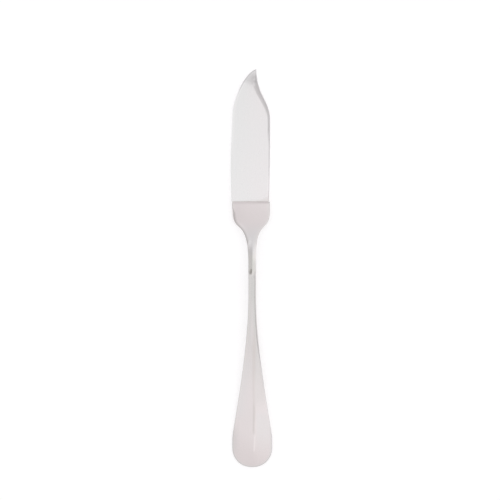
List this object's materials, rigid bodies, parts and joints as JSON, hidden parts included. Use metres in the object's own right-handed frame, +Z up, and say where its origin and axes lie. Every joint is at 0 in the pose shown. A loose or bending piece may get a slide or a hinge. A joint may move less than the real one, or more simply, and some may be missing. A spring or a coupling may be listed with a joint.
{
  "type": "fish knife",
  "caption": "Table fish knife: a thin clipped blade, tongued and soldered into an arched handle with a ridged, round-ended grip.",
  "frame": {"origin": "on the table, under the middle of the knife's bounding box", "axes": "+Y from the handle's butt to the blade's tip, +X from the cutting edge to the spine, +Z up out of the front face"},
  "size_m": [0.0208, 0.2, 0.0058],
  "materials": {
    "handle_metal": "softly polished, warm silver",
    "blade_metal": "finely polished silver",
    "solder": "dull silver solder"
  },
  "bodies": {
    "root": {"handle": "handle_metal", "blade": "blade_metal", "silver_solder": "solder"}
  },
  "joints": []
}
